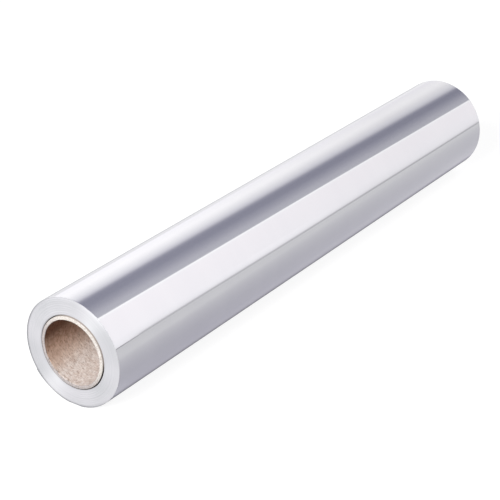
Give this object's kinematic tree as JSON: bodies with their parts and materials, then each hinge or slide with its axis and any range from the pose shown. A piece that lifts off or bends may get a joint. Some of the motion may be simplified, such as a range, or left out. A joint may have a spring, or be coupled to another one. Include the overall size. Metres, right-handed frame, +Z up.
{
  "type": "cellophane wrap roll",
  "caption": "Roll of clear glossy wrapping film wound on a kraft cardboard core, lying on its side, for wrapping gifts, baskets and flowers.",
  "frame": {"origin": "middle of the flat spot that the roll lies on", "axes": "+X along the roll's axis, away from the end that faces the viewer; -Y towards the viewer; +Z up"},
  "size_m": [0.4014, 0.0638, 0.0635],
  "materials": {
    "kraft_core": "matte",
    "clear_film": "gloss"
  },
  "bodies": {
    "root": {"core_tube": "kraft_core", "film_roll": "clear_film"}
  },
  "joints": []
}
